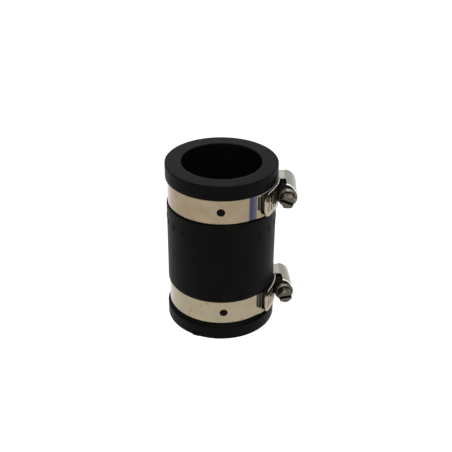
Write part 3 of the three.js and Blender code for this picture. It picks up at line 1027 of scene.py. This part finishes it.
def build_band(clamp, material):
    """Strip from its head end under the housing, round the front and back, to the seam behind."""
    prefix = clamp["prefix"]
    strip = FlatStrip(arc(HEAD_END, WRAP_RADIUS), clamp["width"])
    stud = arc(STUD_ANGLES[prefix] - clamp["angle"], WRAP_RADIUS)
    hole = 2 * (STUD_RADIUS + HOLE_CLEARANCE)
    strip.plain(stud + HOLE_CELL / 2, WRAP_STEP)
    strip.pierced(stud - HOLE_CELL / 2, HOLE_COLUMNS, (hole, hole, hole / 2))
    strip.plain(arc(SEAM, WRAP_RADIUS), WRAP_STEP)

    def on_sleeve(x, y):
        angle = math.degrees(x / WRAP_RADIUS)
        nearest = angle if angle > -180 else angle + 360
        return polar(band_radius(nearest), angle, y)

    obj = place(strip.bend(f"{prefix}_band_wrap", on_sleeve), clamp, material)
    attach(obj, ROOT)
    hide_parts(f"{prefix}_band")


def build_tail(clamp, material):
    """Slotted strip from the seam behind, through the housing, to its rounded free end."""
    prefix = clamp["prefix"]
    slope = THREAD_PITCH / (2 * math.pi * THREAD_RADIUS)
    slot = (SLOT_WIDTH, SLOT_LENGTH, SLOT_ROUNDING)
    tip = arc(TAIL_TIP, TAIL_RADIUS)
    strip = FlatStrip(arc(SEAM + 360, TAIL_RADIUS), clamp["width"])
    strip.plain((LAST_SLOT + 0.5) * THREAD_PITCH, TAIL_STEP)
    for index in range(LAST_SLOT, FIRST_SLOT - 1, -1):
        strip.pierced((index - 0.5) * THREAD_PITCH, SLOT_COLUMNS, slot, slope)
    strip.plain(tip, TIP_STEP)
    lift = TAIL_LIFT[prefix]

    def on_sleeve(x, y):
        reach = max(0.0, 1 - (x - tip) / TIP_REACH)
        past = max(0.0, abs(y) - (clamp["width"] / 2 - TIP_ROUNDING))
        drawn_back = TIP_ROUNDING - math.sqrt(max(0.0, TIP_ROUNDING**2 - past**2))
        angle = math.degrees((x + drawn_back * reach * reach) / TAIL_RADIUS)
        return polar(tail_radius(angle, lift), angle, y)

    obj = place(strip.bend(f"{prefix}_band_end", on_sleeve), clamp, material)
    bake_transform(obj)
    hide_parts(f"{prefix}_band_tail")


# ---- housing and saddle


def arch(foot, rise, half_width):
    """Outline of the housing in X and Z: two legs and an elliptical crown over the screw."""
    crown = [
        (CROWN_OFFSET + rise * math.cos(math.radians(a)), half_width * math.sin(math.radians(a)))
        for a in steps(-90, 90, CROWN_STEPS)
    ]
    return [(foot, -half_width), *crown, (foot, half_width)]


def side_opening():
    """Cutter for the rounded openings where the tail comes out."""
    back, top = SIDE_OPENING
    rounding = SIDE_OPENING_ROUNDING
    centre = Vector((top - rounding, back - rounding))
    corner = [centre + polar(rounding, a).xy for a in steps(0, 90, SIDE_OPENING_STEPS)]
    front = HOUSING_FRONT - OVERRUN
    foot = GROOVE_RADIUS - OVERRUN
    outline = [(foot, front), (top, front), *corner, (foot, back)]
    reach = HOUSING_HALF_WIDTH + OVERRUN
    return prism("side_opening", outline, -reach, reach, "z")


def arch_body(foot):
    """Solid as large as the outside of the housing, its front edge rounded over."""
    sections = []
    for angle in steps(0, 90, CROWN_ROUNDING_STEPS):
        inset = CROWN_ROUNDING * (1 - math.sin(math.radians(angle)))
        along = HOUSING_FRONT + CROWN_ROUNDING * (1 - math.cos(math.radians(angle)))
        sections.append((along, arch(foot, CROWN_RISE - inset, HOUSING_HALF_WIDTH - inset)))
    sections.append((HOUSING_REAR, arch(foot, CROWN_RISE, HOUSING_HALF_WIDTH)))
    vertices = [(x, along, z) for along, outline in sections for x, z in outline]
    bands = len(sections) - 1
    count = len(sections[0][1])
    obj = make_object("shell", vertices, end_faces(bands, count) + tube_faces(bands, count))
    tidy_mesh(obj)
    return obj


def bearing_wall(clamp, front, rear, foot):
    """Plate across the inside of the housing, with a round hole for the screw."""
    outline = arch(foot, CROWN_RISE - CROWN_WALL / 2, HOUSING_HALF_WIDTH - HOUSING_WALL / 2)
    wall = prism("bearing_wall", outline, front, rear, "y")
    profile = [(0, front - OVERRUN), (BEARING_HOLE_RADIUS, front - OVERRUN)]
    profile += [(BEARING_HOLE_RADIUS, rear + OVERRUN), (0, rear + OVERRUN)]
    cut(wall, revolve("hole", profile, BEARING_HOLE_SEGMENTS, "y", clamp["screw_offset"]))
    return wall


def build_housing(clamp, material):
    """Arched shell over the screw, notched behind, with the lip and the web that hold the screw."""
    prefix = clamp["prefix"]
    foot = GROOVE_RADIUS - OVERRUN
    shell = arch_body(foot)
    inner = arch(foot - OVERRUN, CROWN_RISE - CROWN_WALL, HOUSING_HALF_WIDTH - HOUSING_WALL)
    cut(shell, prism("inner", inner, HOUSING_FRONT - OVERRUN, HOUSING_REAR + OVERRUN, "y"))
    cut(shell, side_opening())
    reach = HOUSING_HALF_WIDTH + OVERRUN
    round_foot = [polar(FOOT_RADIUS, a).xy for a in steps(-FOOT_HALF_ANGLE, FOOT_HALF_ANGLE, FOOT_STEPS)]
    round_foot.append((foot - 2 * OVERRUN, 0))
    cut(shell, prism("round_foot", round_foot, -reach, reach, "z"))
    notch_width, notch_depth, notch_offset = REAR_NOTCH
    cut(shell, block((notch_width, notch_depth, 2 * reach), Vector((notch_offset, HOUSING_REAR, 0))))
    leg_end = Vector((notch_offset - LEG_CUT_LENGTH / 2, HOUSING_REAR, 0))
    cut(shell, block((LEG_CUT_LENGTH, 2 * LEG_SETBACK, 2 * reach), leg_end))
    soften(shell, HOUSING_EDGE, angle=HOUSING_SHARP_ANGLE)
    lip = bearing_wall(clamp, *REAR_LIP)
    web = bearing_wall(clamp, *FRONT_WEB)
    cut(web, side_opening())
    for wall in (lip, web):
        soften(wall, BEARING_EDGE)
    obj = place(join(f"{prefix}_housing_shell", [shell, lip, web]), clamp, material)
    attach(obj, ROOT)
    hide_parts(f"{prefix}_housing")


def curved_outline(inner, inner_angles, outer, outer_angles, count):
    """Outline between two arcs about the sleeve's axis, each with a radius and its two angles."""
    inside = [polar(inner, a).xy for a in steps(*inner_angles, count)]
    outside = [polar(outer, a).xy for a in steps(*reversed(outer_angles), count)]
    return inside + outside


def build_saddle(clamp, material):
    """Curved plate under the head end, with the tabs folded up along the housing's feet."""
    prefix = clamp["prefix"]
    inner, outer = SADDLE_RADII
    outline = curved_outline(inner, SADDLE_ANGLES, outer, SADDLE_ANGLES, SADDLE_STEPS)
    plate = prism("plate", outline, -HOUSING_HALF_WIDTH, HOUSING_HALF_WIDTH, "z")
    outline = curved_outline(inner, TAB_FOOT_ANGLES, outer + TAB_RISE, TAB_TOP_ANGLES, TAB_STEPS)
    tab_side = HOUSING_HALF_WIDTH + TAB_THICKNESS
    tabs = [prism("tab", outline, side * HOUSING_HALF_WIDTH, side * tab_side, "z") for side in (-1, 1)]
    obj = join(f"{prefix}_saddle_plate", [plate, *tabs])
    soften(obj, SADDLE_EDGE)
    place(obj, clamp, material)
    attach(obj, ROOT)
    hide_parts(f"{prefix}_saddle")


# ---- screw


def screw_shaft(clamp):
    """Collar, shank, neck, core and end journal, turned in one piece."""
    profile = [
        (0, HEX_BACK + SHAFT_START),
        *((COLLAR_RADIUS - inset, HEX_BACK + along) for inset, along in COLLAR_FRONT),
        *((COLLAR_RADIUS - inset, COLLAR_BACK + along) for inset, along in COLLAR_REAR),
        (SHANK_RADIUS, COLLAR_BACK),
        (SHANK_RADIUS, SHANK_BACK),
        (NECK_RADIUS, SHANK_BACK),
        (NECK_RADIUS, NECK_BACK),
        (CORE_RADIUS, NECK_BACK),
        (CORE_RADIUS, CORE_BACK),
        (NECK_RADIUS, CORE_BACK),
        (NECK_RADIUS, SHAFT_END - SHAFT_END_CHAMFER),
        (NECK_RADIUS - SHAFT_END_CHAMFER, SHAFT_END),
        (0, SHAFT_END),
    ]
    shaft = revolve("shaft", profile, SCREW_SEGMENTS, "y", clamp["screw_offset"])
    soften(shaft, SHAFT_EDGE, angle=SHAFT_SHARP_ANGLE)
    return shaft


def screw_thread(clamp):
    """Right-hand worm ridge with a rounded crest, fading out at both ends. It meets the strip at y = 0."""
    shape = [(rise, -side) for rise, side in THREAD_FLANK] + [(1.0, 0.0)] + list(reversed(THREAD_FLANK))
    count = round(THREAD_TURNS * THREAD_STEPS)
    vertices = []
    for turn in steps(0, THREAD_TURNS, count):
        fade = smoothstep(min(turn, THREAD_TURNS - turn) / THREAD_FADE)
        angle = 2 * math.pi * (THREAD_START / THREAD_PITCH + turn)
        along = THREAD_START + turn * THREAD_PITCH
        for rise, side in shape:
            radius = THREAD_ROOT_RADIUS + (THREAD_RADIUS - THREAD_ROOT_RADIUS) * rise * fade
            x = clamp["screw_offset"] - radius * math.cos(angle)
            vertices.append((x, along + side, radius * math.sin(angle)))
    corners = len(shape)
    ridge = make_object("ridge", vertices, tube_faces(count, corners) + end_faces(count, corners))
    tidy_mesh(ridge)
    shade_smooth(ridge)
    return ridge


def screw_head(clamp):
    """Hexagon with a turned chamfer and a straight driver slot across its end."""
    prefix = clamp["prefix"]
    offset = clamp["screw_offset"]
    corner = HEX_ACROSS_FLATS / 2 / math.cos(math.radians(30))
    centre = Vector((offset, 0))
    outline = [centre + polar(corner, 60 * i + HEX_TURN[prefix]).xy for i in range(6)]
    head = prism("head", outline, SCREW_FACE, HEX_BACK + HEX_OVERLAP, "y")
    turned = [
        (0, SCREW_FACE),
        (corner - CHAMFER_INSET, SCREW_FACE),
        (corner + CHAMFER_OUTSET, SCREW_FACE + CHAMFER_DEPTH),
        (corner + CHAMFER_OUTSET, HEX_BACK + OVERRUN),
        (0, HEX_BACK + OVERRUN),
    ]
    cut(head, revolve("turned", turned, SCREW_SEGMENTS, "y", offset), "INTERSECT")
    width, depth = DRIVE_SLOT
    slot = block((3 * corner, 2 * depth, width), Vector((0, 0, 0)))
    slot.data.transform(Matrix.Rotation(math.radians(-DRIVE_SLOT_TILT[prefix]), 4, "Y"))
    slot.data.transform(Matrix.Translation((offset, SCREW_FACE, 0)))
    cut(head, slot)
    soften(head, HEX_EDGE, angle=HEX_SHARP_ANGLE)
    return head


def build_screw(clamp, steel, grease):
    """The whole screw: bare steel outside the housing, greased inside it."""
    prefix = clamp["prefix"]
    obj = join(f"{prefix}_worm_screw", [screw_shaft(clamp), screw_thread(clamp), screw_head(clamp)])
    for face in obj.data.polygons:
        face.material_index = 1 if face.center.y > HOUSING_FRONT else 0
    place(obj, clamp, steel, grease)
    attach(obj, f"{prefix}_worm")
    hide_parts(f"{prefix}_screw")


# ---- stage


def build_floor():
    """Pale floor, lit from within like a light table, so that it shows almost no shadow."""
    material, tree, shader = new_material("pale_floor", FLOOR_FINISH)
    grain = noise_value(tree, scale=0.02, detail=3)
    tree.links.new(mix_colour(tree, grain, *FLOOR_COLOURS), shader.inputs["Base Color"])
    corners = [(x * FLOOR_REACH, y * FLOOR_REACH, 0) for x, y in ((-1, -1), (1, -1), (1, 1), (-1, 1))]
    floor = make_object("floor", corners, [(0, 1, 2, 3)])
    floor.data.materials.append(material)


def aim(obj, position, forward, roll=0.0):
    """Puts a light or the camera at a position, looking along forward."""
    level = forward.to_track_quat("-Z", "Y").to_matrix().to_4x4()
    obj.location = position
    obj.rotation_mode = "QUATERNION"
    obj.rotation_quaternion = (level @ Matrix.Rotation(-roll, 4, "Z")).to_quaternion()


def build_light(name, position, target, size, power):
    """Rectangular area light that points at its target."""
    light = bpy.data.lights.new(name, "AREA")
    light.shape = "RECTANGLE"
    light.size, light.size_y = size
    light.energy = power
    aim(add_object(name, light), position, Vector(target) - Vector(position))


def build_lighting():
    """Bright even surroundings, a large soft light overhead and in front, and a softer one behind."""
    world = bpy.data.worlds.new("studio")
    world.use_nodes = True
    background = world.node_tree.nodes["Background"]
    background.inputs["Color"].default_value = WHITE
    background.inputs["Strength"].default_value = SURROUNDINGS_STRENGTH
    bpy.context.scene.world = world
    for light in LIGHTS:
        build_light(*light)


def build_camera():
    """Camera a little above the coupling, in front of it, looking down on to its upper end."""
    camera = bpy.data.cameras.new("camera")
    camera.sensor_width = CAMERA_SENSOR
    camera.lens = CAMERA_LENS
    camera.clip_start, camera.clip_end = CAMERA_CLIP
    forward = polar(math.cos(CAMERA_PITCH), 90 - math.degrees(CAMERA_YAW), -math.sin(CAMERA_PITCH))
    obj = add_object("camera", camera)
    aim(obj, CAMERA_POSITION, forward, CAMERA_ROLL)
    bpy.context.scene.camera = obj


def build_clamps():
    """Both clamps. Only the upper band has the ink stripe and painted edge highlights."""
    upper, lower = CLAMPS
    band_finishes = (
        band_material("upper_band_steel", *UPPER_BAND_COLOURS, reflected_tail_clamp=upper, edge=BAND_EDGE_HIGHLIGHT, ink=True),
        band_material("lower_band_steel", *STRIP_COLOURS, reflected_tail_clamp=lower),
    )
    tail_finish = band_material("tail_steel", *STRIP_COLOURS, edge=TAIL_EDGE_HIGHLIGHT)
    housing_finish = housing_material()
    screw_finish = screw_material()
    grease_finish = grease_material()
    for clamp, band_finish in zip(CLAMPS, band_finishes):
        build_band(clamp, band_finish)
        build_tail(clamp, tail_finish)
        build_housing(clamp, housing_finish)
        build_saddle(clamp, housing_finish)
        build_screw(clamp, screw_finish, grease_finish)


build_camera()
build_lighting()
build_floor()
bpy.context.scene.view_settings.view_transform = "Standard"
build_sleeve(rubber_material())
build_clamps()
